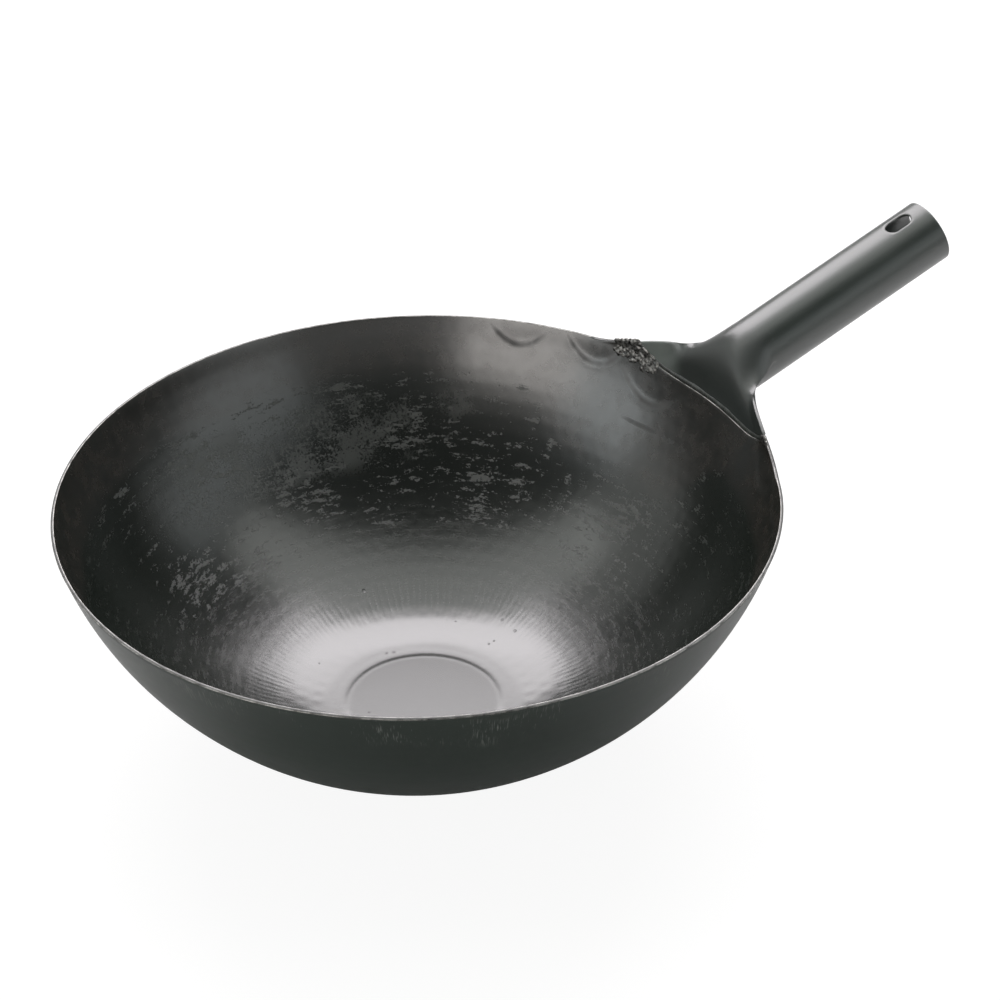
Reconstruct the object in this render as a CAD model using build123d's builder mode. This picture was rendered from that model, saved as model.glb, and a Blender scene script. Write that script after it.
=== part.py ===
from build123d import *

import os
from math import asin, cos, radians, sin, sqrt, tan

# Carbon steel wok with one long handle, a pan for tossing food over a strong flame.
# Millimetres. +X runs out along the handle and +Z is up. The origin is the centre
# of the flat disc that the wok stands on.

# Bowl, hammered out of one round blank
sheet = 1.6
rim_radius = 180.0
bowl_height = 127.0
rim_wall_angle = 73.5
heel_turn_angle = 25.5
upright_angle = 90.0
foot_radius = 39.5
foot_step = 0.6
foot_step_run = 0.9

# Rim beside the neck, drawn up towards the handle
shoulder_half_width = 84.0
shoulder_rise = 6.4

# Seam where the handle's root is butt welded into the rim
seam_half_width = 55.6
seam_level_half_width = 42.0
seam_drop = 3.0
seam_curl_power = 5.4
weld_width = 2.4
weld_crown = 0.35

# Handle, a sheet rolled into a tube
tube_radius = 17.0
tube_rise_angle = 18.2
tube_axis_rise = 10.6
tube_reach = 141.9
seam_gap = 1.6
hang_slot_length = 15.0
hang_slot_width = 9.0
hang_slot_from_end = 16.5

# Neck, where the rolled tube opens out into a flared tongue
neck_length = 25.5
neck_wrap_angle = 87.0
neck_crown_pull = 22.7
neck_edge_pull = 2.7
neck_flare = 12.2
root_rise_pull = 12.2
root_side_pull = 9.0
root_corner_pull = 20.2
neck_lap_share = 0.08
neck_skin_inset = 0.05
cheek_inset = 0.6
root_swell = 0.2
cheek_start_share = 0.03

# Weld beads outside the seam
rim_bead_radius = 3.0
underside_bead_radius = 2.4
underside_bead_wrap = 80.0
underside_bead_lift_share = 0.5

# Working allowances
overrun = 10.0
trim_reach = 60.0
skin_rows = 13
skin_columns = 33
slope_share = 0.0001
skin_tolerance = 0.005
crest_points = 6
crest_halvings = 20

# Sizes that follow from those above. Two arcs run on from each other between the foot
# and the rim, so their radii follow from the rise, the reach and the turns.
heel_radius = foot_radius + foot_step_run
wall_reach = rim_radius - heel_radius
wall_rise = bowl_height - foot_step
heel_turn = radians(heel_turn_angle)
wall_turn = radians(rim_wall_angle)
reach_share = sin(wall_turn) - sin(heel_turn)
rise_share = cos(heel_turn) - cos(wall_turn)
closing_share = sin(heel_turn) * rise_share - (1 - cos(heel_turn)) * reach_share
heel_arc_radius = (wall_reach * rise_share - wall_rise * reach_share) / closing_share
wall_arc_radius = (wall_rise * sin(heel_turn) - wall_reach * (1 - cos(heel_turn))) / closing_share
heel_centre_z = foot_step + heel_arc_radius
wall_centre_x = rim_radius - wall_arc_radius * sin(wall_turn)
wall_centre_z = bowl_height + wall_arc_radius * cos(wall_turn)
lip_top = bowl_height + shoulder_rise + overrun
seam_top = bowl_height - seam_drop + weld_width / 2
bore_radius = tube_radius - sheet

# Directions of the handle: along the tube, and square to it on its upper side
along = Vector(cos(radians(tube_rise_angle)), 0, sin(radians(tube_rise_angle)))
above = Vector(-sin(radians(tube_rise_angle)), 0, cos(radians(tube_rise_angle)))
across = Vector(0, 1, 0)
handle_start = Vector(rim_radius, 0, bowl_height + tube_axis_rise)

# How far the wall leans out for each length that it rises, at the rim
wall_run = 1 / tan(wall_turn)


def tube_meets_wall(turn):
    """Distance along the handle at which one line of the tube, turned from its lowest, meets the wall."""
    side = tube_radius * sin(turn)
    lift = -tube_radius * cos(turn)
    rise = radians(tube_rise_angle)
    lean = (tube_axis_rise + lift * cos(rise)) * wall_run
    return (lean + lift * sin(rise) - side ** 2 / (2 * rim_radius)) / (cos(rise) - sin(rise) * wall_run)


def bead_centre(turn):
    """Centre of the underside weld's bead, standing off the tube and off the wall alike."""
    outward = across * sin(turn) - above * cos(turn)
    stand_off = underside_bead_lift_share * underside_bead_radius
    place = handle_start + along * (tube_meets_wall(turn) + stand_off)
    return place + outward * (tube_radius + stand_off)


def tube_plane(distance):
    """Plane square to the handle, at a distance along it from the rim."""
    return Plane(origin=handle_start + along * distance, x_dir=across, z_dir=along)


def wall_point(inset, turn):
    """Point of the wall's arc, in the half plane of the bowl, inset from its outside."""
    reach = wall_arc_radius - inset
    return (wall_centre_x + reach * sin(turn), wall_centre_z - reach * cos(turn))


def heel_point(inset, turn):
    """Point of the tighter arc that joins the foot to the wall."""
    reach = heel_arc_radius - inset
    return (heel_radius + reach * sin(turn), heel_centre_z - reach * cos(turn))


def rim_turn(inset):
    """Turn at which the wall's arc reaches the upright lip, for one of its faces."""
    return asin((rim_radius - inset - wall_centre_x) / (wall_arc_radius - inset))


def bowl_side(inset):
    """Edges of one face of the bowl, from its axis up to the top of the lip."""
    turn = rim_turn(inset)
    Line((0, inset), (foot_radius, inset))
    Line((foot_radius, inset), heel_point(inset, 0))
    ThreePointArc(heel_point(inset, 0), heel_point(inset, heel_turn / 2), heel_point(inset, heel_turn))
    ThreePointArc(
        wall_point(inset, heel_turn), wall_point(inset, (heel_turn + turn) / 2), wall_point(inset, turn)
    )
    Line(wall_point(inset, turn), (rim_radius - inset, lip_top))


def seam_height(share):
    """Height to which the neck's faces run, from the handle's centre (0) to a corner (1)."""
    return bowl_height - seam_drop + (seam_drop + shoulder_rise) * abs(share) ** seam_curl_power


def seam_outline(lift):
    """Corners of the seam across the handle, seen from its end and lifted from its middle line."""
    level = bowl_height - seam_drop + lift
    corner = bowl_height + shoulder_rise + lift
    return [
        (-seam_half_width, corner),
        (-seam_level_half_width, level),
        (seam_level_half_width, level),
        (seam_half_width, corner),
    ]


def neck_point(side_share, root_share):
    """Point on the upper skin of the neck, from the round tube (0) down to the seam (1)."""
    wrap = radians(neck_wrap_angle) * side_share
    start = handle_start + along * neck_length + (across * sin(wrap) + above * cos(wrap)) * tube_radius
    pull = neck_crown_pull + neck_edge_pull * side_share ** 2
    leave = start - along * pull + across * (neck_flare * side_share ** 3)
    side = seam_half_width * side_share
    height = seam_height(side_share)
    radius = rim_radius - sheet + min(height - bowl_height, 0) * wall_run
    turn = asin(side / radius)
    inner = Vector(radius * cos(turn), side, height)
    lean = radians(rim_wall_angle + (upright_angle - rim_wall_angle) * side_share ** 2)
    uphill = Vector(cos(lean) * cos(turn), cos(lean) * sin(turn), sin(lean))
    sideways = Vector(-sin(turn), cos(turn), 0)
    sway = root_side_pull * side_share + root_corner_pull * side_share ** 3
    arrive = inner + uphill * root_rise_pull - sideways * sway
    t = root_share
    near = start * (1 - t) ** 3 + leave * (3 * (1 - t) ** 2 * t)
    return near + arrive * (3 * (1 - t) * t ** 2) + inner * t ** 3


def neck_depth_point(side_share, root_share, depth):
    """Point of the neck's sheet at a depth below its upper skin."""
    point = neck_point(side_share, root_share)
    sideways = neck_point(side_share + slope_share, root_share) - point
    rootward = neck_point(side_share, root_share + slope_share) - point
    return point + rootward.cross(sideways).normalized() * depth


def neck_face(depth):
    """Smooth face of the neck at a depth below its upper skin."""
    columns = []
    for column in range(skin_columns):
        side_share = 2 * column / (skin_columns - 1) - 1
        points = []
        for row in range(skin_rows):
            root_share = (1 + 2 * neck_lap_share) * row / (skin_rows - 1) - neck_lap_share
            points.append(neck_depth_point(side_share, root_share, depth))
        columns.append(points)
    return Face.make_surface_from_array_of_points(columns, tol=skin_tolerance)


def cheek_crest(side):
    """Side view of the neck at one distance from the middle, half way through its sheet."""
    crest = []
    for row in range(crest_points):
        root_share = cheek_start_share + (1 - cheek_start_share) * row / (crest_points - 1)
        narrow = 0
        wide = 1
        for _ in range(crest_halvings):
            middle = (narrow + wide) / 2
            if neck_point(middle, root_share).Y < side:
                narrow = middle
            else:
                wide = middle
        crest.append(neck_depth_point(middle, root_share, sheet / 2))
    return crest


# Bowl: the wall turns about the axis, and its lip is trimmed to the rim's line
with BuildPart() as bowl:
    with BuildSketch(Plane.XZ):
        with BuildLine():
            bowl_side(0)
            bowl_side(sheet)
            Line((0, 0), (0, sheet))
            Line((rim_radius, lip_top), (rim_radius - sheet, lip_top))
        make_face()
    revolve(axis=Axis.Z)
    with BuildSketch(Plane.XY.offset(bowl_height)):
        with Locations((-rim_radius, 0)):
            Rectangle(2 * rim_radius, 2 * rim_radius + overrun)
    extrude(amount=lip_top, mode=Mode.SUBTRACT)
    with BuildSketch(Plane.YZ):
        with BuildLine():
            side = rim_radius + overrun
            top = lip_top + overrun
            notch = seam_outline(-weld_width / 2)
            corner = (notch[-1][0], bowl_height + shoulder_rise)
            shoulder_slope = shoulder_rise / (shoulder_half_width - seam_half_width)
            rise = Spline(
                corner,
                (shoulder_half_width, bowl_height),
                tangents=[(1, -shoulder_slope), (1, 0)],
            )
            mirror(rise, about=Plane.YZ)
            Line((shoulder_half_width, bowl_height), (side, bowl_height))
            Line((-shoulder_half_width, bowl_height), (-side, bowl_height))
            Line((side, bowl_height), (side, top))
            Line((-side, bowl_height), (-side, top))
            Line((side, top), (-side, top))
            Polyline(*notch)
            Line(notch[-1], corner)
            Line(notch[0], (-corner[0], corner[1]))
        make_face()
    extrude(amount=rim_radius + overrun, mode=Mode.SUBTRACT)

bowl.part.label = "bowl"
export_step(bowl.part, "parts/bowl.step")

# The room that the bowl encloses, which trims what is welded to the outside of its wall
with BuildPart() as bowl_room:
    with BuildSketch(Plane.XZ):
        with BuildLine():
            bowl_side(0)
            Line((0, 0), (0, lip_top))
            Line((0, lip_top), (rim_radius, lip_top))
        make_face()
    revolve(axis=Axis.Z)
    with BuildSketch(Plane.XY.offset(seam_top)):
        Circle(rim_radius + overrun)
        Circle(rim_radius - sheet / 2, mode=Mode.SUBTRACT)
    extrude(amount=lip_top, mode=Mode.SUBTRACT)
    with BuildSketch(Plane.XY.offset(seam_top)):
        Circle(rim_radius - sheet / 2)
    extrude(amount=trim_reach)

# Sheet of the neck, between smooth faces through points of its upper and its under side.
# It is a hair thinner than the tube, so that it ends inside the face of the tube's wall.
neck_skin = neck_face(neck_skin_inset)
neck_underside = neck_face(sheet - neck_skin_inset)
neck_faces = [neck_skin, neck_underside]
for edge in neck_skin.edges():
    partner = neck_underside.edges().sort_by(lambda other: (other.center() - edge.center()).length)[0]
    neck_faces.append(Face.make_surface_from_curves(edge, partner))
neck_sheet = Solid(Shell(neck_faces))
with BuildPart() as neck_tongue:
    add(neck_sheet)
    with BuildSketch(Plane.YZ):
        with BuildLine():
            lap_line = seam_outline(weld_width / 2)
            Polyline(*lap_line)
            Line(lap_line[-1], (seam_half_width, lip_top + trim_reach))
            Line(lap_line[0], (-seam_half_width, lip_top + trim_reach))
            Line((seam_half_width, lip_top + trim_reach), (-seam_half_width, lip_top + trim_reach))
        make_face()
    extrude(amount=rim_radius + tube_reach, mode=Mode.INTERSECT)
    with BuildSketch(tube_plane(neck_length)):
        Rectangle(2 * rim_radius, 2 * rim_radius)
    extrude(amount=-rim_radius, mode=Mode.INTERSECT)

# Handle: the tube, the slot that it hangs by, and the lower half of its root, which swells
# a little under the neck's tongue and has cheeks that close its sides
root_start = tube_meets_wall(0) - overrun
cheek_side = tube_radius - cheek_inset
slot_middle = handle_start + along * (tube_reach - hang_slot_from_end) + above * (tube_radius + overrun)
with BuildPart() as handle:
    with BuildSketch(tube_plane(neck_length)):
        Circle(tube_radius)
        Circle(bore_radius, mode=Mode.SUBTRACT)
        with Locations((0, -tube_radius)):
            Rectangle(seam_gap, 2 * sheet + seam_gap, mode=Mode.SUBTRACT)
    extrude(amount=tube_reach - neck_length)
    with BuildSketch(Plane(origin=slot_middle, x_dir=along, z_dir=-above)):
        SlotOverall(hang_slot_length, hang_slot_width)
    extrude(amount=tube_radius + overrun, mode=Mode.SUBTRACT)
    with BuildSketch(tube_plane(root_start)):
        Circle(tube_radius + root_swell)
        Circle(bore_radius + root_swell, mode=Mode.SUBTRACT)
        with Locations((0, -tube_radius)):
            Rectangle(seam_gap, 2 * sheet + seam_gap, mode=Mode.SUBTRACT)
        with Locations((0, tube_radius)):
            Rectangle(2 * tube_radius + overrun, 2 * tube_radius, mode=Mode.SUBTRACT)
    extrude(amount=neck_length - root_start)
    for side_sign in (1, -1):
        with BuildSketch(Plane.XZ.offset(side_sign * cheek_side)):
            with BuildLine():
                crest = cheek_crest((cheek_side + tube_radius) / 2)
                foot = [point - above * ((point - handle_start).dot(above) + sheet) for point in crest]
                Spline(*[(point.X, point.Z) for point in crest])
                Line((crest[0].X, crest[0].Z), (foot[0].X, foot[0].Z))
                Line((foot[0].X, foot[0].Z), (foot[-1].X, foot[-1].Z))
                Line((foot[-1].X, foot[-1].Z), (crest[-1].X, crest[-1].Z))
            make_face()
        extrude(amount=-side_sign * sheet)
    add(bowl_room.part, mode=Mode.SUBTRACT)
    add(neck_tongue.part)

handle.part.label = "handle"
export_step(handle.part, "parts/handle.step")

# Weld that joins the neck's root to the rim, filling the seam with a low crown
with BuildPart() as neck_weld:
    with BuildSketch(Plane.XZ):
        with BuildLine():
            bowl_side(-weld_crown)
            bowl_side(sheet + weld_crown)
            Line((0, -weld_crown), (0, sheet + weld_crown))
            Line((rim_radius + weld_crown, lip_top), (rim_radius - sheet - weld_crown, lip_top))
        make_face()
    revolve(axis=Axis.Z)
    with BuildSketch(Plane.YZ):
        with BuildLine():
            lower = seam_outline(-weld_width / 2)
            upper = seam_outline(weld_width / 2)
            Polyline(*lower)
            Polyline(*upper)
            Line(lower[0], upper[0])
            Line(lower[-1], upper[-1])
        make_face()
    extrude(amount=rim_radius + overrun, mode=Mode.INTERSECT)
    add(handle.part, mode=Mode.SUBTRACT)

neck_weld.part.label = "neck_weld"
export_step(neck_weld.part, "parts/neck_weld.step")

# Beads that close the seam where it runs out over the rim, one on each side
bead_x = sqrt((rim_radius - sheet / 2) ** 2 - seam_half_width ** 2)
for name, side_sign in (("rim_weld_left", 1), ("rim_weld_right", -1)):
    with BuildPart() as rim_weld:
        with Locations((bead_x, side_sign * seam_half_width, bowl_height + shoulder_rise)):
            Sphere(rim_bead_radius)
        add(bowl.part, mode=Mode.SUBTRACT)
        add(handle.part, mode=Mode.SUBTRACT)
        add(neck_weld.part, mode=Mode.SUBTRACT)
    rim_weld.part.label = name
    export_step(rim_weld.part, f"parts/{name}.step")

# Weld along the underside of the tube and its root, which closes the rolled sheet
with BuildPart() as handle_seam_weld:
    for swell, near, far in ((root_swell, root_start, neck_length), (0, neck_length, tube_reach)):
        with BuildSketch(tube_plane(near)):
            with Locations((0, -tube_radius)):
                Rectangle(seam_gap, 2 * sheet + seam_gap)
            Circle(tube_radius + swell, mode=Mode.INTERSECT)
            Circle(bore_radius + swell, mode=Mode.SUBTRACT)
        extrude(amount=far - near)
    add(bowl_room.part, mode=Mode.SUBTRACT)

handle_seam_weld.part.label = "handle_seam_weld"
export_step(handle_seam_weld.part, "parts/handle_seam_weld.step")

# Fillet weld that runs round the underside of the tube where it meets the bowl's wall
half_wrap = radians(underside_bead_wrap / 2)
with BuildPart() as underside_weld:
    with BuildLine():
        bead_path = ThreePointArc(bead_centre(-half_wrap), bead_centre(0), bead_centre(half_wrap))
    with BuildSketch(Plane(origin=bead_path @ 0, z_dir=bead_path % 0)):
        Circle(underside_bead_radius)
    sweep(path=bead_path)
    add(bowl.part, mode=Mode.SUBTRACT)
    add(handle.part, mode=Mode.SUBTRACT)
    add(neck_weld.part, mode=Mode.SUBTRACT)
    add(handle_seam_weld.part, mode=Mode.SUBTRACT)

underside_weld.part.label = "underside_weld"
export_step(underside_weld.part, "parts/underside_weld.step")
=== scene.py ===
# %% [markdown]
# # A hammered steel wok
#
# This lesson dresses a imported CAD model of a carbon steel wok. The CAD gives the sizes and the
# physics. Blender gives the looks: the hammered sheet, the oiled oxide skin, the bright edge that
# the grinder left, and the weld beads. Every object is in metres, in the same frame as the CAD, so
# nothing has to be fitted into place.
#
# The first cell loads the frame.

# %% Load the frame
import math

import bmesh
import bpy
import numpy as np
from mathutils import Matrix, Vector


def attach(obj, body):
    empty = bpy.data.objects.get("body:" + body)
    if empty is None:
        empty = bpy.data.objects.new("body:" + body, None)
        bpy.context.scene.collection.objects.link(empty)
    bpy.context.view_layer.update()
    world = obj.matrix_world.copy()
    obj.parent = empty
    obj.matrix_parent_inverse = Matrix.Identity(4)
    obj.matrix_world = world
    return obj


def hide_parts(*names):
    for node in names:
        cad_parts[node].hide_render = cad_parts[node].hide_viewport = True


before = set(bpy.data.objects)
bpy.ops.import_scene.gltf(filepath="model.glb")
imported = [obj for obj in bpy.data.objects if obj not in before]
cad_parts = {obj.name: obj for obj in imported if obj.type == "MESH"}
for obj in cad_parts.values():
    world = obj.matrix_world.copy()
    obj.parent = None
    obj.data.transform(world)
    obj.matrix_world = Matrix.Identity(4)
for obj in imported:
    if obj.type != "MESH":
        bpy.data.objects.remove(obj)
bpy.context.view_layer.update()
print("nodes", sorted(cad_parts))

# %% [markdown]
# ## The sizes of the real thing
#
# The wok is beaten out of one round sheet, 1.6 mm thick. Its side is made of two arcs that run on
# from each other: a tighter one that lifts off the small flat foot, and a wide one up to the rim.
# The same named sizes made the CAD, so both agree wherever they meet. A table of sizes is easier to
# change than numbers spread over the script.

# %% Sizes in metres
MM = 0.001
SHEET = 1.6 * MM
RIM_RADIUS = 180.0 * MM
BOWL_HEIGHT = 127.0 * MM
RIM_WALL_TURN = math.radians(73.5)
HEEL_TURN = math.radians(25.5)
FOOT_RADIUS = 39.5 * MM
FOOT_STEP = 0.6 * MM
FOOT_DISH = 0.95 * MM
FOOT_SKIRT = 0.3 * MM
FOOT_RIDGE = 0.05 * MM
HEEL_RADIUS = 40.4 * MM
SHOULDER_HALF_WIDTH = 84.0 * MM
SHOULDER_RISE = 6.4 * MM
SEAM_HALF_WIDTH = 55.6 * MM
SEAM_DROP = 3.0 * MM
SEAM_CURL_POWER = 5.4
WELD_WIDTH = 2.4 * MM
TUBE_RADIUS = 17.0 * MM
TUBE_RISE = math.radians(18.2)
TUBE_AXIS_RISE = 10.6 * MM
TUBE_REACH = 141.9 * MM
NECK_LENGTH = 25.5 * MM
FLAT_POINTS = 40

wall_reach = RIM_RADIUS - HEEL_RADIUS
wall_rise = BOWL_HEIGHT - FOOT_STEP
sine_left = math.sin(RIM_WALL_TURN) - math.sin(HEEL_TURN)
cosine_left = math.cos(HEEL_TURN) - math.cos(RIM_WALL_TURN)
closing = math.sin(HEEL_TURN) * cosine_left - (1 - math.cos(HEEL_TURN)) * sine_left
HEEL_ARC = (wall_reach * cosine_left - wall_rise * sine_left) / closing
WALL_ARC = (wall_rise * math.sin(HEEL_TURN) - wall_reach * (1 - math.cos(HEEL_TURN))) / closing
WALL_CENTRE_X = RIM_RADIUS - WALL_ARC * math.sin(RIM_WALL_TURN)
WALL_CENTRE_Z = BOWL_HEIGHT + WALL_ARC * math.cos(RIM_WALL_TURN)
print("arcs in mm", round(HEEL_ARC / MM, 2), round(WALL_ARC / MM, 2))

# %% [markdown]
# ## Helpers that make meshes
#
# A beaten pan could be sculpted by hand, but then nothing would be exact. Here each skin is a grid of
# points worked out from formulas with NumPy, and a helper turns points and faces into an object.
# `smooth_step` is the usual soft switch between 0 and 1, which keeps the joins free of creases.

# %% Mesh helpers
def smooth_step(low, high, value):
    """0 below low, 1 above high, and a soft ramp between them."""
    share = np.clip((np.asarray(value, float) - low) / (high - low), 0, 1)
    return share * share * (3 - 2 * share)


def make_object(name, points, faces, body="root"):
    """A smooth-shaded mesh object that rides on one CAD body."""
    mesh = bpy.data.meshes.new(name)
    mesh.from_pydata([tuple(point) for point in points], [], faces)
    mesh.validate()
    mesh.polygons.foreach_set("use_smooth", [True] * len(mesh.polygons))
    thing = bpy.data.objects.new(name, mesh)
    bpy.context.scene.collection.objects.link(thing)
    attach(thing, body)
    return thing


def grid_faces(rows, columns, closed):
    """Quads of a grid of points that is stored row by row, closed round each row or open."""
    faces = []
    for row in range(rows - 1):
        for column in range(columns if closed else columns - 1):
            after = (column + 1) % columns
            low, high = row * columns, (row + 1) * columns
            faces.append((low + column, low + after, high + after, high + column))
    return faces


# %% [markdown]
# ## The side of the bowl
#
# `face_line` walks along one face of the sheet, from the middle of the foot up to the rim, and
# `face_point` says where a walked length lands. Beside the handle the rim is drawn up into two
# shoulders, so a column of points may run on past the rim line, and the bend there is rounded. The
# foot is a shallow disc, pressed 0.6 mm down outside. Inside it is a dish with a low ridge round it,
# which is the dark arc that the floor of the bowl shows.

# %% Shape of the bowl's side
def face_line(inset):
    """Lengths walked along one face from the axis to the rim line, with radius and height there."""
    flat = np.linspace(0, HEEL_RADIUS, FLAT_POINTS)
    heel = np.linspace(0, HEEL_TURN, 60)[1:]
    wall = np.linspace(HEEL_TURN, RIM_WALL_TURN, 300)[1:]
    radius = [flat, HEEL_RADIUS + (HEEL_ARC - inset) * np.sin(heel)]
    radius.append(WALL_CENTRE_X + (WALL_ARC - inset) * np.sin(wall))
    height = [flat * 0 + FOOT_STEP + inset, FOOT_STEP + HEEL_ARC - (HEEL_ARC - inset) * np.cos(heel)]
    height.append(WALL_CENTRE_Z - (WALL_ARC - inset) * np.cos(wall))
    radius, height = np.concatenate(radius), np.concatenate(height)
    walked = np.concatenate([[0], np.cumsum(np.hypot(np.diff(radius), np.diff(height)))])
    return walked, radius, height


def face_point(line, inset, length, rise):
    """Radius and height of points that lie a length along a face, whose rim stands up by rise."""
    walked, radius, height = line
    over = np.maximum(length - walked[-1], 0)
    r = np.interp(length, walked, radius)
    z = np.interp(length, walked, height) + over
    bend = np.clip(rise, 1e-6, 6 * MM)
    share = np.clip((length - walked[-1] + bend) / (2 * bend), 0, 1)
    low_r, low_z = np.interp(walked[-1] - bend, walked, radius), np.interp(walked[-1] - bend, walked, height)
    mid_r, mid_z = radius[-1], height[-1]
    round_r = low_r * (1 - share) ** 2 + 2 * mid_r * share * (1 - share) + mid_r * share ** 2
    round_z = low_z * (1 - share) ** 2 + 2 * mid_z * share * (1 - share) + (mid_z + bend) * share ** 2
    inside = (share > 0) & (share < 1) & (rise > 1e-6)
    r, z = np.where(inside, round_r, r), np.where(inside, round_z, z)
    disc = 1 - smooth_step(FOOT_RADIUS - 1.7 * MM, FOOT_RADIUS + 1.9 * MM, r)
    if inset == 0:
        return r, z - FOOT_STEP * disc
    dish = FOOT_DISH * (1 - np.clip(r / (FOOT_RADIUS - 1.3 * MM), 0, 1) ** 2)
    skirt = FOOT_SKIRT * (1 - smooth_step(FOOT_RADIUS - 1.5 * MM, FOOT_RADIUS + 7.5 * MM, r))
    ridge = FOOT_RIDGE * np.exp(-((r - FOOT_RADIUS + 0.3 * MM) / (1.1 * MM)) ** 2)
    return r, z - dish - skirt + ridge


def seam_height(side):
    """Height of the weld's middle line across the handle's root."""
    share = np.abs(side) / SEAM_HALF_WIDTH
    return BOWL_HEIGHT - SEAM_DROP + (SEAM_DROP + SHOULDER_RISE) * share ** SEAM_CURL_POWER


def rim_height(x, y):
    """Height of the bowl's edge: level, drawn up at the shoulders, notched for the handle."""
    side = np.abs(y)
    share = np.clip((side - SEAM_HALF_WIDTH) / (SHOULDER_HALF_WIDTH - SEAM_HALF_WIDTH), 0, 1)
    shoulder = BOWL_HEIGHT + SHOULDER_RISE * (share ** 3 - share ** 2 - share + 1)
    notch = seam_height(np.minimum(side, SEAM_HALF_WIDTH)) - WELD_WIDTH / 2
    notch = notch + WELD_WIDTH / 2 * smooth_step(0.95, 1, side / SEAM_HALF_WIDTH)
    front = np.where(side < SEAM_HALF_WIDTH, notch, shoulder)
    return np.where(x > 0, front, BOWL_HEIGHT)


inner_line, outer_line = face_line(SHEET), face_line(0)
print("wall length in mm", round(outer_line[0][-1] / MM, 1))

# %% [markdown]
# ## Hammer marks
#
# The smith turns the bowl a little after each blow, so the marks lie in rings, and their spacing
# wanders. Each ring here has its own number of marks and its own start, from a seeded table, so
# every run gives the same bowl. The marks are only a few hundredths of a millimetre deep. They don't
# show as dents; they show as a reflection that trembles. Near the handle a few heavier blows left
# crescent-shaped dents, where the smith drew the rim up. A texture could fake them, but a dent bends
# every reflection, so they are moved points. Each is a row of a table, which the oxide uses again.

# %% Hammer marks and dents
rng = np.random.default_rng(7)
MARK_PITCH = 8.5 * MM
MARK_DEPTH = 0.05 * MM
WANDER_DEPTH = 0.10 * MM
RINGS = 64
ring_turns = rng.uniform(0, 1, RINGS)
ring_depths = rng.uniform(0.5, 1.0, RINGS)
DENT_LINE = 1.5
# Turn of the middle and half the width in degrees, lowest height, rise of the ends and depth in mm
CRESCENTS = (
    (41.0, 4.7, 115.2, 7.0, 0.40),
    (26.6, 5.4, 114.0, 10.0, 0.55),
    (13.6, 6.0, 104.8, 8.5, 0.55),
    (-22.0, 5.0, 112.0, 8.0, 0.35),
    (-34.0, 5.0, 115.0, 7.0, 0.3),
)


def hammer_lift(turn, length):
    """How far the sheet is pushed in from its true line at a turn about the axis, in metres."""
    ring = np.floor(length / MARK_PITCH).astype(int)
    across = np.sin(np.pi * (length / MARK_PITCH - ring)) ** 2
    ring_radius = np.interp((ring + 0.5) * MARK_PITCH, outer_line[0], outer_line[1])
    marks = np.round(2 * np.pi * ring_radius / MARK_PITCH)
    around = 0.5 - 0.5 * np.cos(marks * turn + 2 * np.pi * ring_turns[ring % RINGS])
    lift = MARK_DEPTH * across * around * ring_depths[ring % RINGS]
    wander = np.sin(3 * turn + 1.3) + np.sin(5 * turn + 0.4 + length * 25) + np.sin(8 * turn - length * 40)
    lift = lift + WANDER_DEPTH * (1 + wander / 3)
    keep = smooth_step(44 * MM, 60 * MM, length) * (1 - smooth_step(0.985, 1, length / outer_line[0][-1]))
    lift = lift * keep
    height = np.interp(length, outer_line[0], outer_line[2])
    for middle, half, low, rise, depth in CRESCENTS:
        away = (turn - math.radians(middle) + math.pi) % (2 * math.pi) - math.pi
        u = np.degrees(away) / half
        v = (height / MM - low - rise * u * u) / DENT_LINE
        inside = 0.5 + 0.5 * np.tanh(v)
        fade = np.exp(-np.abs(v) / 6) * np.clip(1.25 - np.abs(u), 0, 1)
        lift = lift - depth * MM * fade * (inside - 0.25 * np.exp(-(v + 1.4) ** 2))
    return lift


print("rings of marks", math.ceil(outer_line[0][-1] / MARK_PITCH), "crescents", len(CRESCENTS))


# %% [markdown]
# ## The bowl
#
# The bowl is one closed skin: up the inside, over the rounded rim edge, and down the outside. Columns
# of points stand closer together near the handle, where the rim has its detail. The two faces get
# the same hammer marks, because they are two sides of one sheet.

# %% Bowl
near_handle = np.radians(np.arange(-35, 35, 0.5))
elsewhere = np.radians(np.linspace(35, 325, 388, endpoint=False))
turns = np.concatenate([near_handle, elsewhere])
edge_x, edge_y = RIM_RADIUS * np.cos(turns), RIM_RADIUS * np.sin(turns)
edge_z = rim_height(edge_x, edge_y)
edge_rise = np.maximum(edge_z - BOWL_HEIGHT, 0)
EDGE_ROUND = 0.35 * MM
EVEN_SHARE = 0.88


def bowl_rows(line, inset, shares, clip):
    """Points of one face at shares of the way from the foot's centre to the edge, column by column."""
    walked, radius, height = line
    top = np.where(edge_z > BOWL_HEIGHT, walked[-1] + edge_z - BOWL_HEIGHT, 0)
    below = np.interp(edge_z, height[FLAT_POINTS:], walked[FLAT_POINTS:])
    top = np.where(edge_z > BOWL_HEIGHT, top, below) - clip
    rows = []
    for share in shares:
        held = EVEN_SHARE * walked[-1]
        even = share * walked[-1]
        length = np.where(even < held, even, held + (even - held) / (walked[-1] - held) * (top - held))
        r, z = face_point(line, inset, length, edge_rise)
        ahead_r, ahead_z = face_point(line, inset, length + 0.05 * MM, edge_rise)
        slope = np.arctan2(ahead_z - z, ahead_r - r)
        lift = hammer_lift(turns, length * outer_line[0][-1] / walked[-1])
        r, z = r - lift * np.sin(slope), z + lift * np.cos(slope)
        rows.append(np.stack([r * np.cos(turns), r * np.sin(turns), z], axis=1))
    return rows


def shares_between(*stretches):
    """Shares in a row, from stretches that each give a first, a last and a count."""
    return np.concatenate([np.linspace(*stretch) for stretch in stretches])


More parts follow.
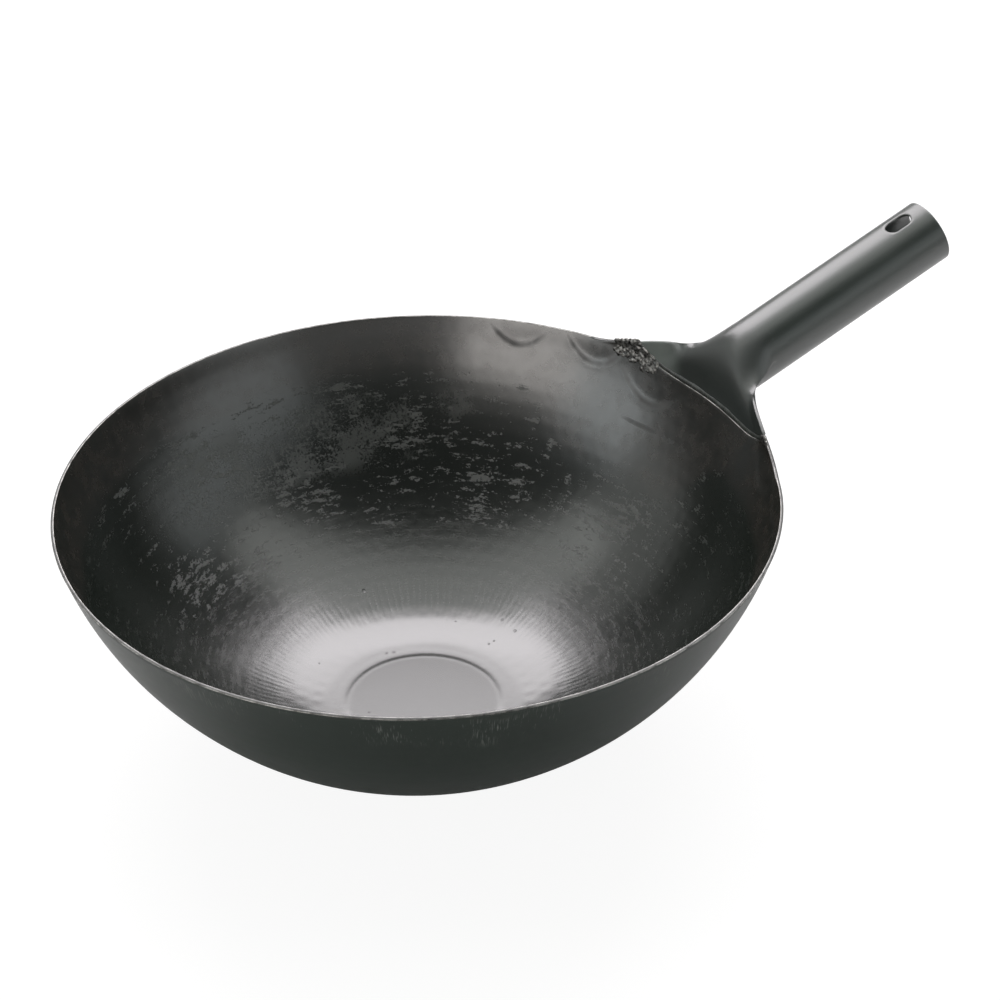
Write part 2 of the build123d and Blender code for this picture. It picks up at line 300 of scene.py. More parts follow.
inner_shares = shares_between((0.01, 0.14, 10), (0.15, 0.185, 12), (0.19, 1, 125))
outer_shares = shares_between((1, 0.19, 76), (0.185, 0.15, 10), (0.14, 0.01, 8))
inner_rows = bowl_rows(inner_line, SHEET, inner_shares, EDGE_ROUND)
outer_rows = bowl_rows(outer_line, 0, outer_shares, EDGE_ROUND + SHEET * math.cos(RIM_WALL_TURN))
edge_in, edge_out = inner_rows[-1], outer_rows[0]
lip_rows = []
for across, drop in ((0.06, 0.10), (0.24, 0.0), (0.5, 0.0), (0.76, 0.0), (0.94, 0.10)):
    row = edge_in * (1 - across) + edge_out * across
    row[:, 2] = edge_z - drop * MM - across * SHEET * math.cos(RIM_WALL_TURN)
    lip_rows.append(row)
all_rows = inner_rows + lip_rows + outer_rows
points = np.concatenate(all_rows)
column_count = len(turns)
faces = grid_faces(len(all_rows), column_count, True)
points = np.concatenate([points, [[0, 0, FOOT_STEP + SHEET - FOOT_DISH - FOOT_SKIRT], [0, 0, 0]]])
inner_centre, outer_centre = len(points) - 2, len(points) - 1
last = (len(all_rows) - 1) * column_count
for column in range(column_count):
    after = (column + 1) % column_count
    faces.append((inner_centre, after, column))
    faces.append((outer_centre, last + column, last + after))
bowl = make_object("hammered_bowl", points, faces)
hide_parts("bowl")
print("bowl faces", len(bowl.data.polygons), "rows", len(all_rows), "columns", column_count)

# %% [markdown]
# ## The handle
#
# On the real wok the handle is one sheet. At its outer end it is rolled into a tube, and towards the
# bowl the roll opens out into a flared tongue, whose curved root is welded into the rim. So it is
# modelled as one skin of points, which Blender's Solidify modifier then thickens, as rolling a sheet
# would. Each line of the tongue is a Bezier curve: it leaves the tube along the tube, and it arrives
# at the seam running with the bowl's wall.

# %% Lines of the handle
NECK_WRAP = math.radians(87.0)
NECK_CROWN_PULL = 22.7 * MM
NECK_EDGE_PULL = 2.7 * MM
NECK_FLARE = 12.2 * MM
ROOT_RISE_PULL = 12.2 * MM
ROOT_SIDE_PULL = 9.0 * MM
ROOT_CORNER_PULL = 20.2 * MM
along = np.array([math.cos(TUBE_RISE), 0, math.sin(TUBE_RISE)])
above = np.array([-math.sin(TUBE_RISE), 0, math.cos(TUBE_RISE)])
sideways = np.array([0.0, 1.0, 0.0])
tube_start = np.array([RIM_RADIUS, 0, BOWL_HEIGHT + TUBE_AXIS_RISE])
wall_run = 1 / math.tan(RIM_WALL_TURN)


def tube_point(turn, distance, lift=0.0):
    """Point of the tube at a turn from its crown and a distance out from the rim."""
    ring = sideways * math.sin(turn) + above * math.cos(turn)
    return tube_start + along * distance + ring * (TUBE_RADIUS + lift)


def neck_point(side, root):
    """Point of the tongue, from the tube (root 0) to the seam (root 1), middle (side 0) to edge (1)."""
    start = tube_point(NECK_WRAP * side, NECK_LENGTH)
    pull = NECK_CROWN_PULL + NECK_EDGE_PULL * side ** 2
    leave = start - along * pull + sideways * NECK_FLARE * side ** 3
    y = SEAM_HALF_WIDTH * side
    z = float(seam_height(y))
    radius = RIM_RADIUS - SHEET + min(z - BOWL_HEIGHT, 0) * wall_run
    turn = math.asin(y / radius)
    seam = np.array([radius * math.cos(turn), y, z])
    lean = RIM_WALL_TURN + (math.pi / 2 - RIM_WALL_TURN) * side ** 2
    uphill = np.array([math.cos(lean) * math.cos(turn), math.cos(lean) * math.sin(turn), math.sin(lean)])
    around = np.array([-math.sin(turn), math.cos(turn), 0])
    sway = ROOT_SIDE_PULL * side + ROOT_CORNER_PULL * side ** 3
    arrive = seam + uphill * ROOT_RISE_PULL - around * sway
    near = start * (1 - root) ** 3 + leave * 3 * (1 - root) ** 2 * root
    return near + arrive * 3 * (1 - root) * root ** 2 + seam * root ** 3


def last_share(low, high, holds):
    """The largest share between two at which a test still holds, found by halving."""
    for _ in range(24):
        middle = (low + high) / 2
        if holds(middle):
            low = middle
        else:
            high = middle
    return low


def root_end(side):
    """Share of the way down at which a line of the tongue stops, half a weld short of the seam."""
    seam = neck_point(side, 1)
    return last_share(0.8, 1.0, lambda root: np.linalg.norm(neck_point(side, root) - seam) > WELD_WIDTH / 2)


def wall_distance(turn):
    """Distance along the handle at which a line of the tube, turned from its crown, meets the wall."""
    side, lift = TUBE_RADIUS * math.sin(turn), TUBE_RADIUS * math.cos(turn)
    lean = (TUBE_AXIS_RISE + lift * math.cos(TUBE_RISE)) * wall_run
    reach = lean + lift * math.sin(TUBE_RISE) - side ** 2 / (2 * RIM_RADIUS)
    return reach / (math.cos(TUBE_RISE) - math.sin(TUBE_RISE) * wall_run)


print("tube runs into the wall at mm", round(wall_distance(math.pi) / MM, 1))

# %% [markdown]
# ## The slot that the wok hangs by
#
# A hole in a curved skin could be cut with a Boolean modifier, but that leaves long thin faces. The
# grid leaves a square window instead, and rings of points blend from the window to the round-ended
# slot. The last ring drops a little below the skin, which gives the ground bevel that shines.

# %% Skin of the handle
TUBE_COLUMNS, NECK_ROWS, ROOT_ROWS = 96, 44, 14
UPPER = 60
SLOT_MIDDLE, SLOT_LENGTH, SLOT_WIDTH = TUBE_REACH - 16.5 * MM, 15.0 * MM, 9.0 * MM
WINDOW_HALF, WINDOW_SIDE = 11 * MM, 8
NEAR_ROWS, WINDOW_ROWS, END_ROWS = 46, 23, 7
upper_sides = np.linspace(-1, 1, UPPER + 1)
lower_turns = np.linspace(NECK_WRAP, 2 * math.pi - NECK_WRAP, TUBE_COLUMNS - UPPER + 1)[1:-1]
ring_turns_all = np.concatenate([upper_sides * NECK_WRAP, lower_turns])
tube_rows = np.concatenate([
    np.linspace(NECK_LENGTH, SLOT_MIDDLE - WINDOW_HALF, NEAR_ROWS),
    np.linspace(SLOT_MIDDLE - WINDOW_HALF, SLOT_MIDDLE + WINDOW_HALF, WINDOW_ROWS)[1:],
    np.linspace(SLOT_MIDDLE + WINDOW_HALF, TUBE_REACH, END_ROWS)[1:],
])
skin, skin_faces, index = [], [], {}


def add(key, point):
    """Stores a point once, under a name, and gives its number."""
    if key not in index:
        index[key] = len(skin)
        skin.append(point)
    return index[key]


def stored(kind, *corners):
    """Numbers of points that are stored under a kind, a row and a column."""
    return [index[(kind, *corner)] for corner in corners]


window_rows = (NEAR_ROWS - 1, NEAR_ROWS + WINDOW_ROWS - 2)
window_columns = (UPPER // 2 - WINDOW_SIDE, UPPER // 2 + WINDOW_SIDE)
for row, distance in enumerate(tube_rows):
    for column, turn in enumerate(ring_turns_all):
        hidden = window_rows[0] < row < window_rows[1] and window_columns[0] < column < window_columns[1]
        if not hidden:
            add(("tube", row, column), tube_point(turn, distance))
for row in range(len(tube_rows) - 1):
    for column in range(TUBE_COLUMNS):
        after = (column + 1) % TUBE_COLUMNS
        in_window = window_rows[0] <= row < window_rows[1] and window_columns[0] <= column < window_columns[1]
        if not in_window:
            corners = ((row, column), (row, after), (row + 1, after), (row + 1, column))
            skin_faces.append(stored("tube", *corners))
print("tube points", len(skin))

# %% [markdown]
# The slot's outline is worked out by direction: each window point looks towards the slot's middle, and
# the rings step along that line of sight. So no face is longer than its neighbours.

# %% Rings round the hang slot
def slot_outline(angle, grow):
    """Place on the round-ended slot's outline, grown evenly, in the direction of an angle."""
    half, radius = (SLOT_LENGTH - SLOT_WIDTH) / 2, SLOT_WIDTH / 2 + grow
    u, v = math.cos(angle), math.sin(angle)
    if abs(v) > 1e-9 and abs(u / v) * radius <= half:
        return np.array([u / abs(v) * radius, math.copysign(radius, v)])
    reach = half * abs(u) + math.sqrt(max(radius ** 2 - (half * v) ** 2, 0))
    return np.array([u, v]) * reach


(low_row, high_row), (low_column, high_column) = window_rows, window_columns
window = [(low_row, column) for column in range(low_column, high_column)]
window += [(row, high_column) for row in range(low_row, high_row)]
window += [(high_row, column) for column in range(high_column, low_column, -1)]
window += [(row, low_column) for row in range(high_row, low_row, -1)]
ring_numbers = stored("tube", *window)
SLOT_BEVEL = 0.75 * MM
for ring_number, (share, drop) in enumerate(((0.35, 0), (0.7, 0), (1.0, 0), (1.0, 0.2), (1.0, 0.45))):
    grow = SLOT_BEVEL * (1 - drop / 0.45)
    fresh = []
    for place, (row, column) in enumerate(window):
        spot = np.array([tube_rows[row] - SLOT_MIDDLE, ring_turns_all[column] * TUBE_RADIUS])
        angle = math.atan2(spot[1], spot[0])
        target = slot_outline(angle, grow)
        u, v = spot * (1 - share) + target * share
        point = tube_point(v / TUBE_RADIUS, SLOT_MIDDLE + u, -drop * MM)
        fresh.append(add(("slot", ring_number, place), point))
    for place in range(len(window)):
        after = (place + 1) % len(window)
        skin_faces.append([ring_numbers[place], ring_numbers[after], fresh[after], fresh[place]])
    ring_numbers = fresh
slot_bevel = (len(skin_faces) - 2 * len(window), len(skin_faces))
print("window points", len(window))

# %% [markdown]
# ## The tongue, the root and its cheeks
#
# Where the roll opens, the skin splits: the upper lines become the tongue, and the lower half of the
# tube runs straight on into the bowl's wall. Between them the sides are closed by two narrow cheeks.

# %% Tongue and root
ends = [root_end(side) for side in upper_sides]
for row in range(1, NECK_ROWS + 1):
    for column, side in enumerate(upper_sides):
        add(("neck", row, column), neck_point(side, ends[column] * row / NECK_ROWS))
for column in range(UPPER + 1):
    index[("neck", 0, column)] = index[("tube", 0, column)]
for row in range(NECK_ROWS):
    for column in range(UPPER):
        after = column + 1
        skin_faces.append(stored("neck", (row + 1, column), (row + 1, after), (row, after), (row, column)))

lower_columns = list(range(UPPER, TUBE_COLUMNS)) + [0]
ROOT_BITE = 0.9 * MM
for row in range(1, ROOT_ROWS + 1):
    for column in lower_columns:
        turn = ring_turns_all[column]
        foot = wall_distance(turn) - ROOT_BITE
        distance = NECK_LENGTH + (foot - NECK_LENGTH) * row / ROOT_ROWS
        add(("root", row, column), tube_point(turn, distance))
for column in lower_columns:
    index[("root", 0, column)] = index[("tube", 0, column)]
for row in range(ROOT_ROWS):
    for column, after in zip(lower_columns[:-1], lower_columns[1:]):
        skin_faces.append(stored("root", (row + 1, column), (row + 1, after), (row, after), (row, column)))


def crest_point(sign, base, root):
    """Point of the tongue above a point of the tube's lower half, at a share of the way down."""
    inner = abs(base[1]) - SHEET / 2
    side = last_share(0.0, 1.0, lambda share: neck_point(share, root)[1] < inner)
    return neck_point(sign * side, root)


CHEEK_ROWS = 5
for sign, column in ((1, UPPER), (-1, 0)):
    for row in range(1, ROOT_ROWS + 1):
        base = skin[index[("root", row, column)]]
        wanted = (base - tube_start) @ along
        root = last_share(0, 1, lambda root: (crest_point(sign, base, root) - tube_start) @ along > wanted)
        crest = crest_point(sign, base, root) - above * SHEET / 2
        for step in range(1, CHEEK_ROWS + 1):
            add(("cheek", sign, row, step), base + (crest - base) * step / CHEEK_ROWS)
        index[("cheek", sign, row, 0)] = index[("root", row, column)]
    for step in range(CHEEK_ROWS + 1):
        index[("cheek", sign, 0, step)] = index[("tube", 0, column)]
    for row in range(ROOT_ROWS):
        for step in range(CHEEK_ROWS):
            corners = ((row + 1, step), (row + 1, step + 1), (row, step + 1), (row, step))
            numbers = list(dict.fromkeys(index[("cheek", sign, *corner)] for corner in corners))
            if len(numbers) > 2:
                skin_faces.append(numbers if sign < 0 else numbers[::-1])
print("skin points", len(skin), "faces", len(skin_faces))

# %% [markdown]
# Solidify gives the skin the sheet's thickness, on its inner side, and Bevel rounds the cut edges a
# little, because no cut steel edge is perfectly sharp. Both are applied, so that the mesh is the
# finished shape.

# %% Handle
def apply_modifiers(thing):
    """Replaces a thing's mesh with what its modifiers make of it."""
    shape = bpy.context.evaluated_depsgraph_get()
    shape.update()
    finished = bpy.data.meshes.new_from_object(thing.evaluated_get(shape))
    thing.modifiers.clear()
    thing.data = finished
    finished.polygons.foreach_set("use_smooth", [True] * len(finished.polygons))


handle = make_object("rolled_handle", skin, [face[::-1] for face in skin_faces])
for number in range(*slot_bevel):
    handle.data.polygons[number].material_index = 1
thicken = handle.modifiers.new("thicken", "SOLIDIFY")
thicken.thickness = SHEET
thicken.offset = -1
thicken.use_even_offset = True
thicken.material_offset_rim = 1
thicken.material_offset = 2
soften = handle.modifiers.new("soften", "BEVEL")
soften.width = 0.3 * MM
soften.segments = 2
soften.limit_method = "ANGLE"
soften.angle_limit = math.radians(52)
soften.material = 1
apply_modifiers(handle)
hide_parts("handle")
print("handle faces", len(handle.data.polygons))

# %% [markdown]
# ## Weld beads
#
# A bead laid by hand is a row of small pools, each frozen over the last, so its top is rippled and the
# ripples bow forward. A curve with a round bevel would be too even, so each bead is swept along its
# seam ring by ring, with that ripple in the mesh.

# %% Swept beads
def wall_radius(height, inset):
    """Radius of one face of the bowl's wall at a height. Above the rim line it stands upright."""
    drop = WALL_CENTRE_Z - min(height, BOWL_HEIGHT)
    return WALL_CENTRE_X + math.sqrt((WALL_ARC - inset) ** 2 - drop ** 2)


def swept_bead(name, line, outward, half_width, half_height, pitch, node):
    """A rippled bead along a line of points, humped along the outward directions."""
    line, outward = np.array(line), np.array(outward)
    steps = np.linalg.norm(np.diff(line, axis=0), axis=1)
    run = np.concatenate([[0], np.cumsum(steps)])
    ahead = np.gradient(line, axis=0)
    ahead = ahead / np.linalg.norm(ahead, axis=1)[:, None]
    across = np.cross(outward, ahead)
    corners = np.radians(np.arange(0, 360, 20))
    phases = rng.uniform(0, 2 * math.pi, 4)
    uneven = sum(np.sin(run / (pitch * (1.3 + k)) + phases[k]) for k in range(4)) / 4
    ends = np.sqrt(np.clip(np.minimum(run, run[-1] - run) / half_width, 0.02, 1))
    ripple = 0.5 + 0.5 * np.cos(2 * math.pi * run / pitch + 2 * uneven)
    rings = []
    for k in range(len(line)):
        wide = half_width * (1 + 0.16 * uneven[k]) * ends[k]
        tall = half_height * (1 - 0.2 * ripple[k] + 0.1 * uneven[k]) * ends[k]
        bow = 0.6 * half_width * (1 - np.cos(corners) ** 2)
        ring = line[k] + np.outer(np.cos(corners) * wide, across[k])
        ring = ring + np.outer(np.sin(corners) * tall, outward[k]) + np.outer(bow, ahead[k]) * ends[k]
        rings.append(ring)
    faces = grid_faces(len(rings), len(corners), True)
    faces.append(list(range(len(corners)))[::-1])
    faces.append([(len(rings) - 1) * len(corners) + k for k in range(len(corners))])
    bead = make_object(name, np.concatenate(rings), faces)
    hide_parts(node)
    return bead


def wall_outward(y, height):
    """Direction straight out of the wall, at a distance from the middle and a height."""
    turn = math.asin(y / wall_radius(height, SHEET / 2))
    level = math.sin(RIM_WALL_TURN)
    return (math.cos(turn) * level, math.sin(turn) * level, -math.cos(RIM_WALL_TURN))


seam_line, seam_out = [], []
for y in np.linspace(-SEAM_HALF_WIDTH, SEAM_HALF_WIDTH, 300):
    height = float(seam_height(y))
    radius = wall_radius(height, SHEET / 2)
    seam_line.append((math.sqrt(radius ** 2 - y ** 2), y, height))
    seam_out.append(wall_outward(y, height))
seam_bead = swept_bead("seam_bead", seam_line, seam_out, 1.9 * MM, 1.15 * MM, 1.7 * MM, "neck_weld")

runs = np.linspace(wall_distance(math.pi) + 1 * MM, TUBE_REACH - 0.4 * MM, 420)
closing_line = [tube_point(math.pi, distance, -0.15 * MM) for distance in runs]
closing_size = (1.6 * MM, 0.5 * MM, 1.3 * MM)
closing_bead = swept_bead(
    "closing_bead", closing_line, [-above] * len(runs), *closing_size, "handle_seam_weld"
)

fillet_turns = np.radians(np.linspace(140, 220, 90))
fillet_line = [tube_point(turn, wall_distance(turn) + 0.5 * MM, 0.5 * MM) for turn in fillet_turns]
fillet_rings = [sideways * math.sin(turn) + above * math.cos(turn) for turn in fillet_turns]
fillet_out = [(ring + along) / math.sqrt(2) for ring in fillet_rings]
fillet_size = (2.3 * MM, 1.5 * MM, 1.9 * MM)
fillet_bead = swept_bead("fillet_bead", fillet_line, fillet_out, *fillet_size, "underside_weld")
print("beads", [len(bead.data.polygons) for bead in (seam_bead, closing_bead, fillet_bead)])

# %% [markdown]
# Where the seam runs out over the rim the welder stopped and started several times, and the metal
# stands there as a rough crust. Sculpting it would not give the same crust twice. Here it is many
# seeded drops of metal, flattened against the wall and melted into one skin by a voxel Remesh.

# %% Crusts where the seam runs out over the rim
def crust(name, middle, spread, depth, count, node):
    """A rough crust of weld metal on the bowl's inner face, round a distance from the middle."""
    drops = bmesh.new()
    for _ in range(count):
        along_rim, down = rng.uniform(-1, 1), rng.uniform(0, 1) ** 1.3
        y = middle + along_rim * spread
        on_rim = abs(y) > SEAM_HALF_WIDTH
        top = float(rim_height(np.array(1.0), np.array(y)) if on_rim else seam_height(y))
        height = top - down * depth * (1 - 0.5 * along_rim ** 2) + rng.uniform(-0.4, 0.3) * MM
        size = rng.uniform(0.9, 2.1) * MM * (1 - 0.3 * abs(along_rim))
        radius = wall_radius(height, SHEET) + size * rng.uniform(0.1, 0.3)
        place = Matrix.Translation((math.sqrt(radius ** 2 - y ** 2), y, height))
        flat = Matrix.Rotation(math.asin(y / radius), 4, "Z") @ Matrix.Diagonal((0.5, 1, 1, 1))
        bmesh.ops.create_icosphere(drops, subdivisions=2, radius=size, matrix=place @ flat)
    points = [tuple(vertex.co) for vertex in drops.verts]
    faces = [[vertex.index for vertex in face.verts] for face in drops.faces]
    drops.free()
    thing = make_object(name, points, faces)
    melt = thing.modifiers.new("melt", "REMESH")
    melt.mode, melt.voxel_size, melt.use_smooth_shade = "VOXEL", 0.3 * MM, True
    settle = thing.modifiers.new("settle", "SMOOTH")
    settle.factor, settle.iterations = 0.5, 2
    apply_modifiers(thing)
    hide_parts(node)
    return thing


left_crust = crust("rim_crust_left", 56.0 * MM, 13.5 * MM, 12.0 * MM, 240, "rim_weld_left")
right_crust = crust("rim_crust_right", -56.5 * MM, 4.0 * MM, 3.0 * MM, 50, "rim_weld_right")
print("crusts", len(left_crust.data.polygons), len(right_crust.data.polygons))

# %% [markdown]
# ## Arithmetic for shaders
#
# A material's pattern is a chain of Math nodes, which is slow to read when each is made by hand. `Wire`
# wraps a socket so that plus, minus, times and divide make them. `Nodes` makes any other node from its
# kind, its settings and what goes into its sockets. The recipes then read like formulas.

# %% Wires and nodes
def operators(operation):
    """Two operators of a Wire that make a Math node: the plain one and its reflected form."""
    plain = lambda wire, other: maths(operation, wire, other)
    reflected = lambda wire, other: maths(operation, other, wire)
    return plain, reflected


class Wire:
    """One value of a shader, used like a number. Each sum or product makes a Math node."""

    def __init__(self, tree, socket):
        self.tree, self.socket = tree, socket

    __add__, __radd__ = operators("ADD")
    __sub__, __rsub__ = operators("SUBTRACT")
    __mul__, __rmul__ = operators("MULTIPLY")
    __truediv__, __rtruediv__ = operators("DIVIDE")
    __pow__, __rpow__ = operators("POWER")


def plug(tree, socket, value):
    """Links a wire into a socket, or sets a plain value on it."""
    if isinstance(value, Wire):
        tree.links.new(value.socket, socket)
    else:
        socket.default_value = value


def maths(operation, *values):
    """A Math node of that operation on the values, which are wires or numbers."""
    tree = next(value.tree for value in values if isinstance(value, Wire))
    return Nodes(tree).make("Math", {"operation": operation}, dict(enumerate(values)))


class Nodes:
    """A node tree, with one short way to make any node in it."""

    def __init__(self, tree):
        self.tree = tree

    def make(self, kind, settings, inputs, output=0):
        """Makes a node with its settings first and then its inputs, and gives one output."""
        node = self.tree.nodes.new("ShaderNode" + kind)
        for name, value in settings.items():
            if name == "stops":
                ramp = node.color_ramp.elements
                while len(ramp) < len(value):
                    ramp.new(1.0)
                for stop, (position, colour) in zip(ramp, value):
                    stop.position, stop.color = position, colour
            else:
                setattr(node, name, value)
        for name, value in inputs.items():
            plug(self.tree, node.inputs[name], value)
        return Wire(self.tree, node.outputs[output]) if node.outputs else None


# %% [markdown]
# A paint is a material whose tree starts with the Principled shader. Whatever is the same all over,
# such as the index of refraction, is set on the shader. Only what varies is a wire.

# %% Paints
class Paint(Nodes):
    """A material, with short ways to make the patterns that its recipe needs."""

    def __init__(self, name, **constants):
        self.material = bpy.data.materials.new(name)
        self.material.use_nodes = True
        super().__init__(self.material.node_tree)
        self.shader = self.tree.nodes["Principled BSDF"]
        for socket, value in constants.items():
            self.shader.inputs[socket].default_value = value

    def place(self):
        """The place on the object in metres: x, y and z, and the three as one vector."""
        where = self.make("TexCoord", {}, {}, "Object")
        return [self.make("SeparateXYZ", {}, {0: where}, axis) for axis in range(3)] + [where]

    def noise(self, where, scale, detail=3.0, roughness=0.55):
        """Soft random clouds, 0 to 1, of one scale and its finer octaves."""
        inputs = {"Vector": where, "Scale": scale, "Detail": detail, "Roughness": roughness}
        return self.make("TexNoise", {}, inputs)

    def step(self, value, low, high):
        """0 where the value is below low, 1 where it is above high, soft between."""
        inputs = {"Value": value, "From Min": low, "From Max": high}
        return self.make("MapRange", {"interpolation_type": "SMOOTHSTEP"}, inputs)

    def band(self, value, low, high, soft):
        """1 between low and high, soft at both ends."""
        return self.step(value, low - soft, low + soft) * (1 - self.step(value, high - soft, high + soft))

    def blend(self, share, first, second):
        """One colour blended into another. Plain colours are given as red, green and blue."""
        first, second = [(*c, 1) if isinstance(c, tuple) else c for c in (first, second)]
        return self.make("Mix", {"data_type": "RGBA"}, {0: share, 6: first, 7: second}, 2)

    def finish(self, colour, roughness=None, height=None, distance=None):
        """Feeds the shader. The height is a share of the distance, which is in metres."""
        plug(self.tree, self.shader.inputs["Base Color"], colour)
        if roughness is not None:
            plug(self.tree, self.shader.inputs["Roughness"], roughness)
        if height is not None:
            bump = self.make("Bump", {}, {"Distance": distance, "Height": height})
            plug(self.tree, self.shader.inputs["Normal"], bump)
        return self.material


SIGHT_HEIGHT = 181 * MM


def bowl_place(paint):
    """Place on the bowl: x, y, z and their vector, the radius, the turn about the axis in radians, and
    the climb up the wall, as an angle in degrees seen from above the middle."""
    x, y, z, where = paint.place()
    radius = maths("SQRT", x * x + y * y)
    climb = maths("ARCTAN2", radius, SIGHT_HEIGHT - z) * (180 / math.pi)
    return x, y, z, where, radius, maths("ARCTAN2", y, x), climb


def ring_noise(paint, spot, around, up, detail, roughness, scale=5.0):
    """Noise with one scale along the rings of the bowl and another across them, with no seam."""
    x, y, radius, climb = spot
    safe = radius + 1e-4
    ring = {0: x / safe * around, 1: y / safe * around, 2: climb * up}
    return paint.noise(paint.make("CombineXYZ", {}, ring), scale, detail, roughness)


# %% [markdown]
# ## Steel of the bowl's inside
#
# The inside is blued, oiled and seasoned. Its skin is magnetite, which is nearly black and has a high
# index of refraction, so it mirrors about a tenth of the light. Three zones differ. The floor is
# rubbed smooth. Above it a wide belt is mottled, with pale flakes that lie in rings along the hammer's
# path. Below the rim the belt ends and the sheet keeps a brown, even bloom from the heat. A slow noise,
# the wobble, is added to every border, so that no zone ends in a ruled line.

# %% Zones of the inside
inside = Paint("seasoned_inside", IOR=2.1)
x, y, z, where, radius, turn, climb = bowl_place(inside)
spot = (x, y, radius, climb)
degrees = turn * (180 / math.pi)
wobble = inside.noise(where, 16.0, 4.0) - 0.5
edge_climb = climb + wobble * 5.0
by_handle = inside.band(degrees + wobble * 12.0, -6.0, 34.0, 6.0)
belt_top = 63.5 - by_handle * 10.0
belt = inside.step(edge_climb, 35.5, 39.5) * (1 - inside.step(edge_climb - belt_top, -1.5, 1.5))
bloom = inside.step(edge_climb - belt_top, -1.5, 2.0)
polished = 1 - inside.step(edge_climb, 20.5, 24.0)
disc = 1 - inside.step(radius, 36 * MM, 39 * MM)
lower_wall = inside.band(edge_climb, 26.0, 42.0, 6.0)
print("zone nodes", len(inside.tree.nodes))

# %% [markdown]
# The flakes are where the oxide came off in leaves. One noise is stretched along the rings, and waves
# and clusters push it over a threshold. The dust is the same idea with a fine grain, in one patch on
# the far left. The polished floor's border is drawn out into short rays.

# %% Flakes, dust, streaks and rays
leaves = ring_noise(inside, spot, 3.2, 0.22, 8.0, 0.74)
rows = maths("COSINE", climb * (2 * math.pi / 2.6) + wobble * 9.0)
clusters = inside.noise(where, 24.0, 2.0)
grain = inside.noise(where, 700.0, 3.0, 0.8)
main_row = inside.band(climb + wobble * 2.0, 45.0, 46.0, 0.7)
far_side = inside.band(degrees, -5.0, 135.0, 14.0)
level = leaves + rows * 0.022 + (clusters - 0.5) * 0.34 + (grain - 0.5) * 0.34
flakes = inside.step(level + main_row * 0.06 + far_side * 0.02, 0.595, 0.65) * belt
flakes = flakes * (0.28 + far_side * 0.72)

patches = inside.noise(where, 34.0, 3.0, 0.6)
dusty = inside.band(degrees + (patches - 0.5) * 70.0, 62.0, 116.0, 14.0)
dusty = dusty * inside.band(edge_climb, 49.0, 60.0, 2.5)
dust = inside.step(grain + (patches - 0.5) * 0.9, 0.46, 0.6) * dusty
marks = maths("MINIMUM", flakes + dust * 0.75, 1.0)

streaks = ring_noise(inside, spot, 2.2, 0.26, 6.0, 0.7)
fibres = ring_noise(inside, spot, 6.0, 0.9, 6.0, 0.8)
rays = maths("COSINE", turn * 148.0 + wobble * 16.0) * inside.step(clusters, 0.3, 0.5)
rays = rays * inside.band(climb + (streaks - 0.5) * 9.0, 22.5, 29.0, 2.5)
print("pattern nodes", len(inside.tree.nodes))

# %% [markdown]
# Dark oxide stays along the edges of the crescent dents, and one long crease runs below them. The
# floor has a few small pits. Both are masks worked out from distances to places in a table.

# %% Dark lines and pits
# Turn in degrees, distance from the middle and size in mm
PITS = (
    (80.3, 86.8, 1.1), (24.5, 73.5, 0.8), (16.0, 70.8, 0.9), (22.1, 57.3, 0.7), (21.0, 60.3, 0.6),
    (79.1, 45.2, 0.9), (84.0, 45.8, 0.7), (165.4, 29.1, 0.7), (120.0, 62.0, 0.5), (44.0, 66.0, 0.5),
)
dents = 0.0
for middle, half, low, rise, depth in CRESCENTS[:3]:
    u = (degrees - middle) / half
    v = (z / MM - low - u * u * rise) / DENT_LINE
    dents = maths("EXPONENT", 0 - v * v) * inside.band(u + wobble, -0.95, 0.95, 0.3) + dents
dents = dents * inside.step(inside.noise(where, 70.0, 4.0, 0.7), 0.3, 0.62)
crease = inside.band(climb + wobble * 1.6, 61.7, 62.2, 0.25) * inside.band(degrees, 3.0, 17.0, 2.0)
crease = crease * inside.step(inside.noise(where, 140.0, 2.0), 0.42, 0.5)
dark_lines = maths("MINIMUM", dents + crease, 1.0)

pits = 0.0
for pit_turn, pit_radius, size in PITS:
    pit_x = pit_radius * MM * math.cos(math.radians(pit_turn))
    pit_y = pit_radius * MM * math.sin(math.radians(pit_turn))
    gap = maths("SQRT", (x - pit_x) ** 2 + (y - pit_y) ** 2)
    pits = 1 - inside.step(gap, size * 0.5 * MM, size * MM) + pits
print("line and pit nodes", len(inside.tree.nodes))

# %% [markdown]
# Last, the masks choose the colour, the roughness and the height. Colours are laid over each other
# from the widest to the smallest, as a painter would.

# %% Colour, roughness and height of the inside
shade = inside.blend(marks * 0.85, (0.0026, 0.0052, 0.003), (0.052, 0.058, 0.050))
frayed = inside.step(streaks + (fibres - 0.5) * 0.8, 0.42, 0.68)
shade = inside.blend(lower_wall * frayed, shade, (0.022, 0.024, 0.021))
shade = inside.blend(inside.step(rays, 0.1, 0.9) * 0.35, shade, (0.03, 0.031, 0.03))
stains = ring_noise(inside, spot, 4.0, 0.08, 5.0, 0.66, scale=4.0)
warm = inside.blend(inside.step(stains, 0.35, 0.7), (0.010, 0.0105, 0.0085), (0.020, 0.0165, 0.0125))
shade = inside.blend(bloom, shade, warm)
shade = inside.blend(dark_lines * 0.9, shade, (0.004, 0.0042, 0.003))
shade = inside.blend(maths("MINIMUM", pits, 1.0) * 0.8, shade, (0.002, 0.002, 0.002))

